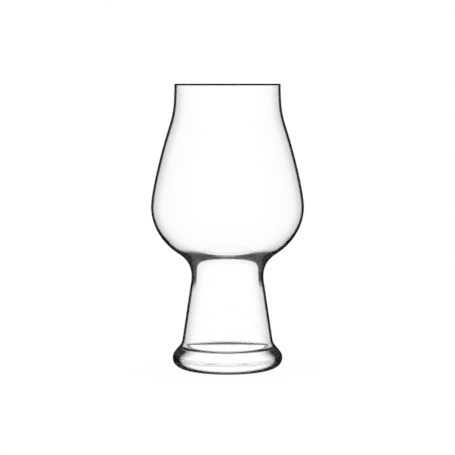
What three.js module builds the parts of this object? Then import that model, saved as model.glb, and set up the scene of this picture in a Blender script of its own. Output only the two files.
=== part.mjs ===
// Stout glass: a tulip bowl, a hollow stem that flares downwards and a thick solid foot, fused into one.
// Millimetres, +Z up. The origin is the centre of the table plane that the glass stands on.

import * as THREE from 'three';

// Overall size
const HEIGHT = 176;

// Foot, from the ring that it stands on up to the seam with the stem
const RING_OUTER_RADIUS = 22.5;
const RING_INNER_RADIUS = 19;
const PUSH_UP_RISE = 0.3;
const FOOT_RADIUS = 33.95;
const FOOT_WIDEST_HEIGHT = 7.1;
const FOOT_CORNER_LIFT = 0.4;
const FOOT_SEAM_RADIUS = 29.2;
const FOOT_SEAM_HEIGHT = 14.9;
const FLANK_LEAN = 35;

// Floor inside the glass
const FLOOR_HEIGHT = 11.4;
const FLOOR_DISH = 0.2;
const FLOOR_CORNER_RADIUS = 2.2;

// Stem, a straight cone between two soft curves
const CONE_BASE_RADIUS = 27.55;
const CONE_BASE_HEIGHT = 20.3;
const CONE_TOP_HEIGHT = 49.3;
const CONE_LEAN = 8.5;
const WAIST_RADIUS = 22.2;
const WAIST_HEIGHT = 57.5;

// Bowl
const UNDER_RADIUS = 30.6;
const UNDER_HEIGHT = 72;
const UNDER_LEAN = 57.2;
const BELLY_RADIUS = 47.05;
const BELLY_HEIGHT = 100.4;
const SHOULDER_RADIUS = 37.1;
const SHOULDER_HEIGHT = 145.8;
const SHOULDER_LEAN = 17.7;
const LIP_RADIUS = 32.75;
const LIP_HEIGHT = 166.9;
const LIP_LEAN = 2.3;
const RIM_RADIUS = 32.5;
const RIM_LEAN = 0.5;

// Thickness of the plain walls, and the hollow's own bends in the heavy glass where the bowl meets the stem
const STEM_WALL = 1.1;
const BOWL_WALL = 1;
const STEM_TOP_HEIGHT = 46.7;
const THROAT_RADIUS = 19.8;
const THROAT_HEIGHT = 62.1;
const THROAT_LEAN = 4.2;
const SHELF_RADIUS = 27.5;
const SHELF_HEIGHT = 72.9;
const SHELF_LEAN = 66;

// How far a curve follows the lean of the point that it leaves, as a share of the distance to the next one
const PULL = 0.36;
const BELLY_UNDER_PULL = 0.35;
const BELLY_UPPER_PULL = 0.2;
const SHOULDER_LOWER_PULL = 0.24;
const UNDER_PULL = 0.395;
const LIP_PULL = 0.4;
const CREASE_PULL = 0.42;
const STEM_TOP_PULL = 0.154;
const THROAT_UNDER_PULL = 0.353;
const THROAT_UPPER_PULL = 0.323;
const SHELF_UNDER_PULL = 0.412;

// Facets
const TURN_SEGMENTS = 48;
const BOWL_STEPS = 6;
const STEM_STEPS = 5;
const FOOT_STEPS = 6;
const RIM_STEPS = 4;
const FLOOR_STEPS = 4;

// The rim is a half round as wide as the wall
const RIM_ROUND = BOWL_WALL / 2;

// The radius of the stem's straight cone at a height: the outside, or the inside of a wall of some thickness
function coneRadius(height, wall = 0) {
  const lean = THREE.MathUtils.degToRad(CONE_LEAN);
  return CONE_BASE_RADIUS - (height - CONE_BASE_HEIGHT) * Math.tan(lean) - wall / Math.cos(lean);
}

// A point that an outline passes through. Its lean is in degrees from vertical, positive where the glass
// widens upwards, and its pulls shape the curves below and above it.
function station(radius, height, leanDegrees, pullBelow = PULL, pullAbove = PULL) {
  const lean = THREE.MathUtils.degToRad(leanDegrees);
  return { at: new THREE.Vector2(radius, height), lean, pullBelow, pullAbove };
}

// A station moved inwards, square to its lean, by the thickness of a wall
function inset(from, wall) {
  const inwards = new THREE.Vector2(-Math.cos(from.lean), Math.sin(from.lean));
  return { ...from, at: from.at.clone().addScaledVector(inwards, wall) };
}

const CREASE = station(FOOT_SEAM_RADIUS, FOOT_SEAM_HEIGHT, -FLANK_LEAN);
const CONE_BASE = station(CONE_BASE_RADIUS, CONE_BASE_HEIGHT, -CONE_LEAN, CREASE_PULL);
const CONE_TOP = station(coneRadius(CONE_TOP_HEIGHT), CONE_TOP_HEIGHT, -CONE_LEAN);
const WAIST = station(WAIST_RADIUS, WAIST_HEIGHT, 0, PULL, UNDER_PULL);
const UNDER = station(UNDER_RADIUS, UNDER_HEIGHT, UNDER_LEAN, UNDER_PULL, BELLY_UNDER_PULL);
const BELLY = station(BELLY_RADIUS, BELLY_HEIGHT, 0, BELLY_UNDER_PULL, BELLY_UPPER_PULL);
const SHOULDER = station(SHOULDER_RADIUS, SHOULDER_HEIGHT, -SHOULDER_LEAN, SHOULDER_LOWER_PULL, LIP_PULL);
const LIP = station(LIP_RADIUS, LIP_HEIGHT, -LIP_LEAN, LIP_PULL);
const RIM = station(RIM_RADIUS, HEIGHT - RIM_ROUND, -RIM_LEAN);
const THROAT = station(THROAT_RADIUS, THROAT_HEIGHT, -THROAT_LEAN, THROAT_UNDER_PULL, THROAT_UPPER_PULL);
const SHELF = station(SHELF_RADIUS, SHELF_HEIGHT, SHELF_LEAN, SHELF_UNDER_PULL);

// The control point that lies a share of a chord along the lean of a station, upwards for a positive share
function handle(from, share, chord) {
  const direction = new THREE.Vector2(Math.sin(from.lean), Math.cos(from.lean));
  return from.at.clone().addScaledVector(direction, share * chord);
}

// A smooth outline through the stations, as points from the lowest to the highest
function outline(stations, steps) {
  const path = new THREE.Path();
  path.moveTo(stations[0].at.x, stations[0].at.y);
  for (let i = 1; i < stations.length; i += 1) {
    const [low, high] = [stations[i - 1], stations[i]];
    const chord = low.at.distanceTo(high.at);
    const leaving = handle(low, low.pullAbove, chord);
    const arriving = handle(high, -high.pullBelow, chord);
    path.bezierCurveTo(leaving.x, leaving.y, arriving.x, arriving.y, high.at.x, high.at.y);
  }
  return path.getPoints(steps);
}

// A solid of revolution about Z from its profile of radius and height
function turned(name, profile, material) {
  const points = profile.map((point) => new THREE.Vector2(Math.max(point.x, 0), point.y));
  const geometry = new THREE.LatheGeometry(points, TURN_SEGMENTS).rotateX(Math.PI / 2);
  const mesh = new THREE.Mesh(geometry, material);
  mesh.name = name;
  return mesh;
}

function clearGlass(name) {
  return new THREE.MeshStandardMaterial({
    name, color: 0xf3f8f6, roughness: 0.03, metalness: 0, transparent: true, opacity: 0.35,
  });
}

// The hollow inside the stem: a straight cone from the foot's seam, narrowing to the throat
function stemHollow() {
  const seam = station(coneRadius(FOOT_SEAM_HEIGHT, STEM_WALL), FOOT_SEAM_HEIGHT, -CONE_LEAN);
  const topRadius = coneRadius(STEM_TOP_HEIGHT, STEM_WALL);
  const stemTop = station(topRadius, STEM_TOP_HEIGHT, -CONE_LEAN, PULL, STEM_TOP_PULL);
  return outline([seam, stemTop, THROAT], STEM_STEPS);
}

// The hollow inside the bowl, from the throat over the shelf and up along the thin wall to the rim
function bowlHollow() {
  const thinWall = [BELLY, SHOULDER, LIP].map((outside) => inset(outside, BOWL_WALL));
  const rimInside = station(RIM_RADIUS - BOWL_WALL, HEIGHT - RIM_ROUND, -RIM_LEAN);
  return outline([THROAT, SHELF, ...thinWall, rimInside], BOWL_STEPS);
}

// Foot: a solid disc with a rounded edge, a shallow hollow under it and the floor of the glass on top
function footSolid() {
  const under = new THREE.Path();
  under.moveTo(0, PUSH_UP_RISE);
  under.quadraticCurveTo(RING_INNER_RADIUS / 2, PUSH_UP_RISE, RING_INNER_RADIUS, 0);
  under.lineTo(RING_OUTER_RADIUS, 0);
  under.quadraticCurveTo(FOOT_RADIUS, FOOT_CORNER_LIFT, FOOT_RADIUS, FOOT_WIDEST_HEIGHT);
  const flank = outline([station(FOOT_RADIUS, FOOT_WIDEST_HEIGHT, 0), CREASE], FOOT_STEPS);
  const wellRadius = stemHollow()[0].x;
  const well = new THREE.Path();
  well.moveTo(wellRadius, FOOT_SEAM_HEIGHT);
  well.quadraticCurveTo(wellRadius, FLOOR_HEIGHT, wellRadius - FLOOR_CORNER_RADIUS, FLOOR_HEIGHT);
  well.quadraticCurveTo(wellRadius / 2, FLOOR_HEIGHT - FLOOR_DISH, 0, FLOOR_HEIGHT - FLOOR_DISH);
  const profile = [...under.getPoints(FOOT_STEPS), ...flank.slice(1), ...well.getPoints(FLOOR_STEPS)];
  return turned('foot', profile, clearGlass('foot_glass'));
}

// Stem: a hollow cone between the foot's crease and the waist
function stemSolid() {
  const outer = outline([CREASE, CONE_BASE, CONE_TOP, WAIST], STEM_STEPS);
  return turned('stem', [...outer, ...stemHollow().reverse(), outer[0]], clearGlass('stem_glass'));
}

// Bowl: the tulip-shaped cup above the waist, with a fire-polished round rim
function bowlSolid() {
  const outer = outline([WAIST, UNDER, BELLY, SHOULDER, LIP, RIM], BOWL_STEPS);
  const rimRound = new THREE.Path();
  rimRound.absarc(RIM_RADIUS - RIM_ROUND, HEIGHT - RIM_ROUND, RIM_ROUND, 0, Math.PI);
  const rim = rimRound.getPoints(RIM_STEPS).slice(1, -1);
  const profile = [...outer, ...rim, ...bowlHollow().reverse(), outer[0]];
  return turned('bowl', profile, clearGlass('bowl_glass'));
}

const stoutGlass = new THREE.Group();
stoutGlass.name = 'stout_glass';
stoutGlass.add(bowlSolid(), stemSolid(), footSolid());

export default stoutGlass;
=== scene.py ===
"""Stout glass for the studio: one clear glass body on a white table, in a white room.

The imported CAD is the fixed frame. One smooth surface of revolution dresses its bowl, stem and foot,
since a pressed glass shows no seams. Outlines are in millimetres until the mesh is made.
"""

import math
from collections import namedtuple

import bpy
import numpy as np
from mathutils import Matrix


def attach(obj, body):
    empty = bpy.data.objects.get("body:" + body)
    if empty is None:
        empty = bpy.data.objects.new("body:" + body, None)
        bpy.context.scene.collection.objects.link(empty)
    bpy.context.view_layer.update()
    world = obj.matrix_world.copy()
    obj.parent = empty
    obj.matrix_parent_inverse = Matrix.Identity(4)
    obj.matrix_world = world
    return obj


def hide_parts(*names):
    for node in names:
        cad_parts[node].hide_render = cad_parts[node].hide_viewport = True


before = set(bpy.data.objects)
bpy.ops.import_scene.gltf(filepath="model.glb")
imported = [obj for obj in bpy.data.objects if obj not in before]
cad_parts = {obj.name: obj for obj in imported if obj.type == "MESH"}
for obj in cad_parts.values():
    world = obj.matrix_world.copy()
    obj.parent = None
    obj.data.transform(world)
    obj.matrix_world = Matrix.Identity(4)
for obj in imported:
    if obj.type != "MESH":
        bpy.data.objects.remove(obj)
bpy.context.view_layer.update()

MM = 0.001

# How strongly a curve follows the lean of a point that it leaves or reaches, where nothing else is given
PULL = 0.36

# A point that an outline passes through: radius and height, its lean in degrees from vertical, positive
# where the glass widens upwards, and how strongly the curves below and above it follow that lean
Station = namedtuple("Station", "radius height lean pull_below pull_above", defaults=(PULL, PULL))

# Outside
HEIGHT = 176.0
FOOT_WIDEST = Station(33.95, 7.1, 0)
CREASE = Station(29.2, 14.9, -35)
CONE_BASE = Station(27.55, 20.3, -8.5, 0.42)
CONE_TOP = Station(23.22, 49.3, -8.5)
WAIST = Station(22.2, 57.5, 0, PULL, 0.395)
UNDER = Station(30.6, 72.0, 57.2, 0.395, 0.35)
BELLY = Station(47.05, 100.4, 0, 0.35, 0.2)
SHOULDER = Station(37.1, 145.8, -17.7, 0.24, 0.4)
LIP = Station(32.75, 166.9, -2.3, 0.4)
RIM_RADIUS = 32.5
RIM_LEAN = -0.5

# Inside
BOWL_WALL = 1.0
STEM_WALL = 1.1
SHELF = Station(27.5, 72.9, 66, 0.412, 0.361)
THROAT = Station(19.8, 62.1, -4.2, 0.353, 0.323)
STEM_TOP_HEIGHT = 46.7
STEM_TOP_PULL = 0.154

# Foot and floor
RING_INNER = 19.0
RING_OUTER = 22.5
PUSH_UP_RISE = 0.3
CORNER_LIFT = 0.4
FLOOR_HEIGHT = 11.4
FLOOR_DISH = 0.2
FLOOR_CORNER = 2.2
WELL_TOP_HEIGHT = 14.9

# Fineness of the mesh
TURN_SEGMENTS = 256
CURVE_STEPS = 14
RIM_STEPS = 12

# Clear glass, with noise in blotches to the metre
REFRACTIVE_INDEX = 1.52
FACE_ON_GLOSS = (0.1, 0.1, 0.1, 1.0)
WHITE = (1.0, 1.0, 1.0, 1.0)
FAINT_CAST = (0.99, 0.988, 0.984, 1.0)
CAST_SQUARE_ON = (0.55, 0.92)
NOISE_DETAIL = 1.0
CLOUD_SCALE = 26.0
CLOUD_SHARE = 0.25
RIPPLE_SCALE = 70.0
RIPPLE_STRENGTH = 0.1
RIPPLE_DEPTH = 0.3 * MM
POLISH = (0.0, 0.012)

# Painted edge shade in the glass colour: spans of soft steps, in metres or in square-on shares, from 0
# edge on to 1 face on
# Colour of the painted shade where the glass edges are darkest
EDGE_SHADE_COLOUR = (0.0008, 0.0009, 0.001, 1.0)
FACES_OUTWARD = (1.0 * MM, 3.0 * MM)
OUTLINE_DEPTH = (1.2 * MM, 1.95 * MM)
SOFT_DEPTH = (1.4 * MM, 6.5 * MM)
SOFT_SHADE = 0.62
WAIST_FROM = (48.0 * MM, 56.0 * MM)
WAIST_TO = (74.0 * MM, 77.5 * MM)
WAIST_SQUARE_ON = (0.488, 0.535)
WAIST_SHADE = 0.014
FOOT_FROM = (0.6 * MM, 2.2 * MM)
FOOT_TO = (13.2 * MM, 16.8 * MM)
FOOT_SQUARE_ON = (0.47, 0.72)
WELL_RADIUS_FROM = (23.9 * MM, 24.5 * MM)
WELL_RADIUS_TO = (26.6 * MM, 27.3 * MM)
WELL_HEIGHT_FROM = (8.0 * MM, 10.0 * MM)
WELL_HEIGHT_TO = (13.9 * MM, 14.7 * MM)
WELL_SHADE = 0.02
CREASE_FROM = (13.3 * MM, 14.0 * MM)
CREASE_TO = (14.8 * MM, 15.5 * MM)
# The span ends past 1, so that the crease keeps its painted dark line where it is seen face on
CREASE_SQUARE_ON = (0.66, 1.3)
RIM_FROM = (174.7 * MM, 175.2 * MM)

# Sockets of a Mix node that take two colours and give one
MIX_COLOURS_IN = (6, 7)
MIX_COLOUR_OUT = 2

# Camera of the photograph, in metres, degrees downwards and millimetres of film
CAMERA_PLACE = (0.0, -1.091, 0.176)
CAMERA_DOWN_TILT = 4.628
CAMERA_LENS = 140.55
SENSOR_WIDTH = 36.0

# Light: strengths of the backdrop seen through the glass and of the dim room that its surface mirrors
BACKDROP_LIGHT = 1.0
ROOM_LIGHT = 0.015
LIGHT_BOUNCES = 32

# Table, in metres, and the share of its white that a shadow can take away
TABLE_RADIUS = 4.0
TABLE_SIDES = 96
TABLE_DROP = 0.2 * MM
TABLE_ALBEDO = 0.05


def curve(stations, steps=CURVE_STEPS):
    """Cubic curves from each station to the next. A share t of the way along one, its point is
    (1-t)^3 a + 3 (1-t)^2 t b + 3 (1-t) t^2 c + t^3 d, where a and d are the two stations, and b and c
    lie along their leans by their pulls times the distance from a to d."""
    at = np.array([(s.radius, s.height) for s in stations])
    lean = np.radians([s.lean for s in stations])
    upwards = np.stack([np.sin(lean), np.cos(lean)], axis=1)
    chord = np.linalg.norm(np.diff(at, axis=0), axis=1)
    rising = np.sign(np.diff(at[:, 1]))
    leaving = [s.pull_above if r > 0 else s.pull_below for s, r in zip(stations[:-1], rising)]
    arriving = [s.pull_below if r > 0 else s.pull_above for s, r in zip(stations[1:], rising)]
    a, d = at[:-1], at[1:]
    b = a + upwards[:-1] * (rising * leaving * chord)[:, None]
    c = d - upwards[1:] * (rising * arriving * chord)[:, None]
    t = np.linspace(0, 1, steps, endpoint=False)[:, None, None]
    points = (1 - t) ** 3 * a + 3 * (1 - t) ** 2 * t * b + 3 * (1 - t) * t ** 2 * c + t ** 3 * d
    return np.vstack([points.transpose(1, 0, 2).reshape(-1, 2), at[-1]])


def bend(start, corner, end, steps=CURVE_STEPS):
    """A quadratic curve from start to end that leaves towards the corner and arrives from it:
    (1-t)^2 start + 2 (1-t) t corner + t^2 end."""
    t = np.linspace(0, 1, steps + 1)[:, None]
    start, corner, end = np.array(start), np.array(corner), np.array(end)
    return (1 - t) ** 2 * start + 2 * (1 - t) * t * corner + t ** 2 * end


def inset(station, wall):
    """The station moved inwards, square to its lean, by the thickness of the wall."""
    lean = math.radians(station.lean)
    return station._replace(
        radius=station.radius - wall * math.cos(lean), height=station.height + wall * math.sin(lean)
    )


def cone_inside(height):
    """The radius of the stem's straight inner cone at a height."""
    base = inset(CONE_BASE, STEM_WALL)
    return base.radius + (height - base.height) * math.tan(math.radians(base.lean))


def glass_profile():
    """The closed outline of the glass as radius and height, from the middle of its underside out and up
    to the rim, and down the inside to the middle of its floor."""
    rim = Station(RIM_RADIUS, HEIGHT - BOWL_WALL / 2, RIM_LEAN)
    underside = bend((0, PUSH_UP_RISE), (RING_INNER / 2, PUSH_UP_RISE), (RING_INNER, 0))
    edge = bend(
        (RING_OUTER, 0),
        (FOOT_WIDEST.radius, CORNER_LIFT),
        (FOOT_WIDEST.radius, FOOT_WIDEST.height),
    )
    outside = curve([FOOT_WIDEST, CREASE, CONE_BASE, CONE_TOP, WAIST, UNDER, BELLY, SHOULDER, LIP, rim])
    turn = np.linspace(0, math.pi, RIM_STEPS + 1)
    lip_round = np.stack([np.cos(turn), np.sin(turn)], axis=1) * BOWL_WALL / 2
    lip_round += (rim.radius - BOWL_WALL / 2, rim.height)
    lip_inside = rim._replace(radius=rim.radius - BOWL_WALL)
    stem_top = Station(
        cone_inside(STEM_TOP_HEIGHT), STEM_TOP_HEIGHT, CONE_TOP.lean, pull_above=STEM_TOP_PULL
    )
    well_top = Station(cone_inside(WELL_TOP_HEIGHT), WELL_TOP_HEIGHT, CONE_TOP.lean)
    inside = curve([
        lip_inside,
        inset(LIP, BOWL_WALL),
        inset(SHOULDER, BOWL_WALL),
        inset(BELLY, BOWL_WALL),
        SHELF,
        THROAT,
        stem_top,
        well_top,
    ])
    floor_edge = well_top.radius - FLOOR_CORNER
    corner = bend(
        (well_top.radius, well_top.height), (well_top.radius, FLOOR_HEIGHT), (floor_edge, FLOOR_HEIGHT)
    )
    floor_low = FLOOR_HEIGHT - FLOOR_DISH
    dish = bend((floor_edge, FLOOR_HEIGHT), (floor_edge / 2, floor_low), (0, floor_low))
    return np.vstack([
        underside, edge, outside[1:], lip_round[1:-1], inside, corner[1:], dish[1:]
    ])


def turned(name, profile, material):
    """The solid that a profile sweeps about the vertical axis: a profile point of radius r and height z
    stands at (r cos a, r sin a, z) for every angle a of the turn. The first and last points lie on the
    axis and close the surface with fans of triangles."""
    angle = np.linspace(0, 2 * math.pi, TURN_SEGMENTS, endpoint=False)
    radius, height = profile[1:-1].T
    ring = np.stack([
        np.outer(radius, np.cos(angle)),
        np.outer(radius, np.sin(angle)),
        np.repeat(height[:, None], TURN_SEGMENTS, axis=1),
    ], axis=2)
    poles = np.array([[0, 0, profile[0, 1]], [0, 0, profile[-1, 1]]])
    places = np.vstack([poles[:1], ring.reshape(-1, 3), poles[1:]]) * MM
    here = np.arange(TURN_SEGMENTS)
    beside = np.roll(here, -1)
    rows = 1 + TURN_SEGMENTS * np.arange(len(radius) - 1)[:, None]
    quads = np.stack([
        rows + here, rows + beside, rows + TURN_SEGMENTS + beside, rows + TURN_SEGMENTS + here
    ], axis=2).reshape(-1, 4)
    last_row = 1 + TURN_SEGMENTS * (len(radius) - 1)
    bottom = np.stack([np.zeros_like(here), 1 + beside, 1 + here], axis=1)
    top = np.stack([np.full_like(here, len(places) - 1), last_row + here, last_row + beside], axis=1)
    corners = np.concatenate([quads.ravel(), bottom.ravel(), top.ravel()])
    sizes = np.repeat([4, 3], [len(quads), len(bottom) + len(top)])
    mesh = bpy.data.meshes.new(name)
    mesh.vertices.add(len(places))
    mesh.vertices.foreach_set("co", places.ravel())
    mesh.loops.add(len(corners))
    mesh.loops.foreach_set("vertex_index", corners)
    mesh.polygons.add(len(sizes))
    mesh.polygons.foreach_set("loop_start", np.cumsum(sizes) - sizes)
    mesh.polygons.foreach_set("use_smooth", np.ones(len(sizes), dtype=bool))
    mesh.update(calc_edges=True)
    mesh.materials.append(material)
    piece = bpy.data.objects.new(name, mesh)
    bpy.context.collection.objects.link(piece)
    return piece


def calculated(tree, operation, *given):
    """The output of a Math node, from numbers and sockets."""
    node = tree.nodes.new("ShaderNodeMath")
    node.operation = operation
    for socket, value in zip(node.inputs, given):
        if isinstance(value, (int, float)):
            socket.default_value = value
        else:
            tree.links.new(value, socket)
    return node.outputs[0]


def rising_past(tree, value, span):
    """A soft step: 0 where the value is below the span, 1 where it is above."""
    node = tree.nodes.new("ShaderNodeMapRange")
    node.interpolation_type = "SMOOTHSTEP"
    tree.links.new(value, node.inputs["Value"])
    node.inputs["From Min"].default_value = span[0]
    node.inputs["From Max"].default_value = span[1]
    return node.outputs["Result"]


def falling_past(tree, value, span):
    """The other way round: 1 where the value is below the span, 0 where it is above."""
    return calculated(tree, "SUBTRACT", 1.0, rising_past(tree, value, span))


def all_of(tree, *shares):
    """The product of the shares."""
    whole = shares[0]
    for share in shares[1:]:
        whole = calculated(tree, "MULTIPLY", whole, share)
    return whole


def band(tree, value, start, end):
    """1 where the value lies between the two spans, with soft ends, and 0 elsewhere."""
    return all_of(tree, rising_past(tree, value, start), falling_past(tree, value, end))


def blended(tree, share, before, after):
    """The value before where the share is 0, and after where it is 1."""
    change = calculated(tree, "SUBTRACT", after, before)
    return calculated(tree, "MULTIPLY_ADD", share, change, before)


def tinted(tree, share, before, after):
    """The colour before where the share is 0, and after where it is 1."""
    node = tree.nodes.new("ShaderNodeMix")
    node.data_type = "RGBA"
    tree.links.new(share, node.inputs["Factor"])
    for number, colour in zip(MIX_COLOURS_IN, (before, after)):
        if isinstance(colour, tuple):
            node.inputs[number].default_value = colour
        else:
            tree.links.new(colour, node.inputs[number])
    return node.outputs[MIX_COLOUR_OUT]


def separate(tree, vector):
    """The x, y and z of a vector."""
    node = tree.nodes.new("ShaderNodeSeparateXYZ")
    tree.links.new(vector, node.inputs["Vector"])
    return tuple(node.outputs)


def clouds(tree, place, scale):
    """Soft noise from 0 to 1, with about scale blotches to the metre."""
    node = tree.nodes.new("ShaderNodeTexNoise")
    node.inputs["Scale"].default_value = scale
    node.inputs["Detail"].default_value = NOISE_DETAIL
    tree.links.new(place, node.inputs["Vector"])
    return node.outputs["Fac"]


def seen_square_on(tree):
    """1 where the glass is seen face on, 0 where it is seen edge on."""
    weight = tree.nodes.new("ShaderNodeLayerWeight")
    return calculated(tree, "SUBTRACT", 1.0, weight.outputs["Facing"])


def edge_shade(tree, place, square_on):
    """Painted shade for the glass colour, from 0 dark to 1 clear, set by how square on the glass is
    seen;
    it stands in for the dark edges that refraction gives glass. A thin painted dark line follows the
    outline, with a soft painted shade inside it. A place of radius r that is seen square on by a share s
    lies about r s^2 / 2 inside the outline. The waist and the glass round the foot get a heavier painted
    shade. The rim is a painted dark line too, and so are the crease and the round corner of the well
    where they are seen through air."""
    x, y, z = separate(tree, place.outputs["Object"])
    out_x, out_y, _ = separate(tree, place.outputs["Normal"])
    radius = calculated(tree, "SQRT", calculated(tree, "ADD", all_of(tree, x, x), all_of(tree, y, y)))
    outward = calculated(tree, "ADD", all_of(tree, x, out_x), all_of(tree, y, out_y))
    faces_outward = rising_past(tree, outward, FACES_OUTWARD)
    through_glass = tree.nodes.new("ShaderNodeNewGeometry").outputs["Backfacing"]
    through_air = calculated(tree, "SUBTRACT", 1.0, through_glass)
    depth = all_of(tree, radius, square_on, square_on, 0.5)
    waist = band(tree, z, WAIST_FROM, WAIST_TO)
    foot = band(tree, z, FOOT_FROM, FOOT_TO)
    # Painted dark lines at the crease and at the round corner of the well
    crease = all_of(tree, through_air, band(tree, z, CREASE_FROM, CREASE_TO))
    well_corner = all_of(
        tree,
        through_air,
        band(tree, radius, WELL_RADIUS_FROM, WELL_RADIUS_TO),
        band(tree, z, WELL_HEIGHT_FROM, WELL_HEIGHT_TO),
    )
    # Painted slate-grey shade on the waist, darker where it is seen more edge on
    waist_painted_shade = blended(tree, rising_past(tree, square_on, WAIST_SQUARE_ON), WAIST_SHADE, 1.0)
    line = all_of(tree, rising_past(tree, depth, OUTLINE_DEPTH), blended(tree, waist, 1.0, waist_painted_shade))
    line = blended(tree, foot, line, rising_past(tree, square_on, FOOT_SQUARE_ON))
    line = blended(tree, crease, line, rising_past(tree, square_on, CREASE_SQUARE_ON))
    soft = blended(tree, rising_past(tree, depth, SOFT_DEPTH), SOFT_SHADE, 1.0)
    shade = blended(tree, faces_outward, 1.0, all_of(tree, line, soft))
    shade = blended(tree, well_corner, shade, WELL_SHADE)
    # The rim gets a painted dark line
    return all_of(tree, shade, falling_past(tree, z, RIM_FROM))


def clear_glass():
    """Clear soda glass, with painted shade along its edges, little gloss face on, a faint warm cast
    where it is seen aslant, the slow ripple of a pressed and polished piece and a polish that varies a
    little."""
    material = bpy.data.materials.new("clear_glass")
    material.use_nodes = True
    tree = material.node_tree
    surface = tree.nodes["Principled BSDF"]
    place = tree.nodes.new("ShaderNodeTexCoord")
    square_on = seen_square_on(tree)
    shade = edge_shade(tree, place, square_on)
    cloud = clouds(tree, place.outputs["Object"], CLOUD_SCALE)
    clear = rising_past(tree, square_on, CAST_SQUARE_ON)
    clear = blended(tree, calculated(tree, "MULTIPLY", cloud, CLOUD_SHARE), clear, 1.0)
    colour = tinted(tree, clear, FAINT_CAST, WHITE)
    # The base colour carries the painted edge shade
    tree.links.new(tinted(tree, shade, EDGE_SHADE_COLOUR, colour), surface.inputs["Base Color"])
    tree.links.new(blended(tree, cloud, *POLISH), surface.inputs["Roughness"])
    ripple = tree.nodes.new("ShaderNodeBump")
    ripple.inputs["Strength"].default_value = RIPPLE_STRENGTH
    ripple.inputs["Distance"].default_value = RIPPLE_DEPTH
    tree.links.new(clouds(tree, place.outputs["Object"], RIPPLE_SCALE), ripple.inputs["Height"])
    tree.links.new(ripple.outputs["Normal"], surface.inputs["Normal"])
    surface.inputs["Transmission Weight"].default_value = 1.0
    surface.inputs["IOR"].default_value = REFRACTIVE_INDEX
    surface.inputs["Specular Tint"].default_value = FACE_ON_GLOSS
    return material


def table_white():
    """White table with a trace of the glass's shadow. Only the camera sees it, so that the glass shows
    the white room."""
    material = bpy.data.materials.new("table_white")
    material.use_nodes = True
    tree = material.node_tree
    tree.nodes.clear()
    matt = tree.nodes.new("ShaderNodeBsdfDiffuse")
    matt.inputs["Color"].default_value = (TABLE_ALBEDO, TABLE_ALBEDO, TABLE_ALBEDO, 1.0)
    glow = tree.nodes.new("ShaderNodeEmission")
    glow.inputs["Strength"].default_value = 1.0 - TABLE_ALBEDO
    white = tree.nodes.new("ShaderNodeAddShader")
    tree.links.new(matt.outputs["BSDF"], white.inputs[0])
    tree.links.new(glow.outputs["Emission"], white.inputs[1])
    unseen = tree.nodes.new("ShaderNodeBsdfTransparent")
    path = tree.nodes.new("ShaderNodeLightPath")
    choice = tree.nodes.new("ShaderNodeMixShader")
    tree.links.new(path.outputs["Is Camera Ray"], choice.inputs["Fac"])
    tree.links.new(unseen.outputs["BSDF"], choice.inputs[1])
    tree.links.new(white.outputs["Shader"], choice.inputs[2])
    output = tree.nodes.new("ShaderNodeOutputMaterial")
    tree.links.new(choice.outputs["Shader"], output.inputs["Surface"])
    return material


def studio_light():
    """A white room: the camera, the table and light that has passed through the glass see it white, and
    the glass mirrors it dimly, so that its edges stay dark."""
    world = bpy.data.worlds.new("studio")
    bpy.context.scene.world = world
    world.use_nodes = True
    world.cycles.sampling_method = "NONE"
    tree = world.node_tree
    path = tree.nodes.new("ShaderNodeLightPath")
    light = blended(tree, path.outputs["Is Transmission Ray"], ROOM_LIGHT, BACKDROP_LIGHT)
    scattered = calculated(tree, "MINIMUM", path.outputs["Diffuse Depth"], 1.0)
    plain = calculated(tree, "MAXIMUM", path.outputs["Is Camera Ray"], scattered)
    background = tree.nodes["Background"]
    background.inputs["Color"].default_value = WHITE
    tree.links.new(blended(tree, plain, light, 1.0), background.inputs["Strength"])


def table():
    """A round table top, a hair below the foot."""
    bpy.ops.mesh.primitive_circle_add(
        vertices=TABLE_SIDES, radius=TABLE_RADIUS, fill_type="NGON", location=(0, 0, -TABLE_DROP)
    )
    top = bpy.context.object
    top.name = "table_top"
    top.data.materials.append(table_white())


def camera():
    """The photograph's camera, level with the rim and tilted a little down."""
    eye = bpy.data.cameras.new("photo_camera")
    eye.lens = CAMERA_LENS
    eye.sensor_width = SENSOR_WIDTH
    holder = bpy.data.objects.new("photo_camera", eye)
    holder.location = CAMERA_PLACE
    holder.rotation_euler = (math.radians(90 - CAMERA_DOWN_TILT), 0, 0)
    bpy.context.collection.objects.link(holder)
    bpy.context.scene.camera = holder


glass = turned("glass_body", glass_profile(), clear_glass())
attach(glass, "root")
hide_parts("bowl", "stem", "foot")

studio_light()
table()
camera()

scene = bpy.context.scene
scene.view_settings.view_transform = "Standard"
scene.cycles.max_bounces = LIGHT_BOUNCES
scene.cycles.transmission_bounces = LIGHT_BOUNCES
scene.cycles.glossy_bounces = LIGHT_BOUNCES
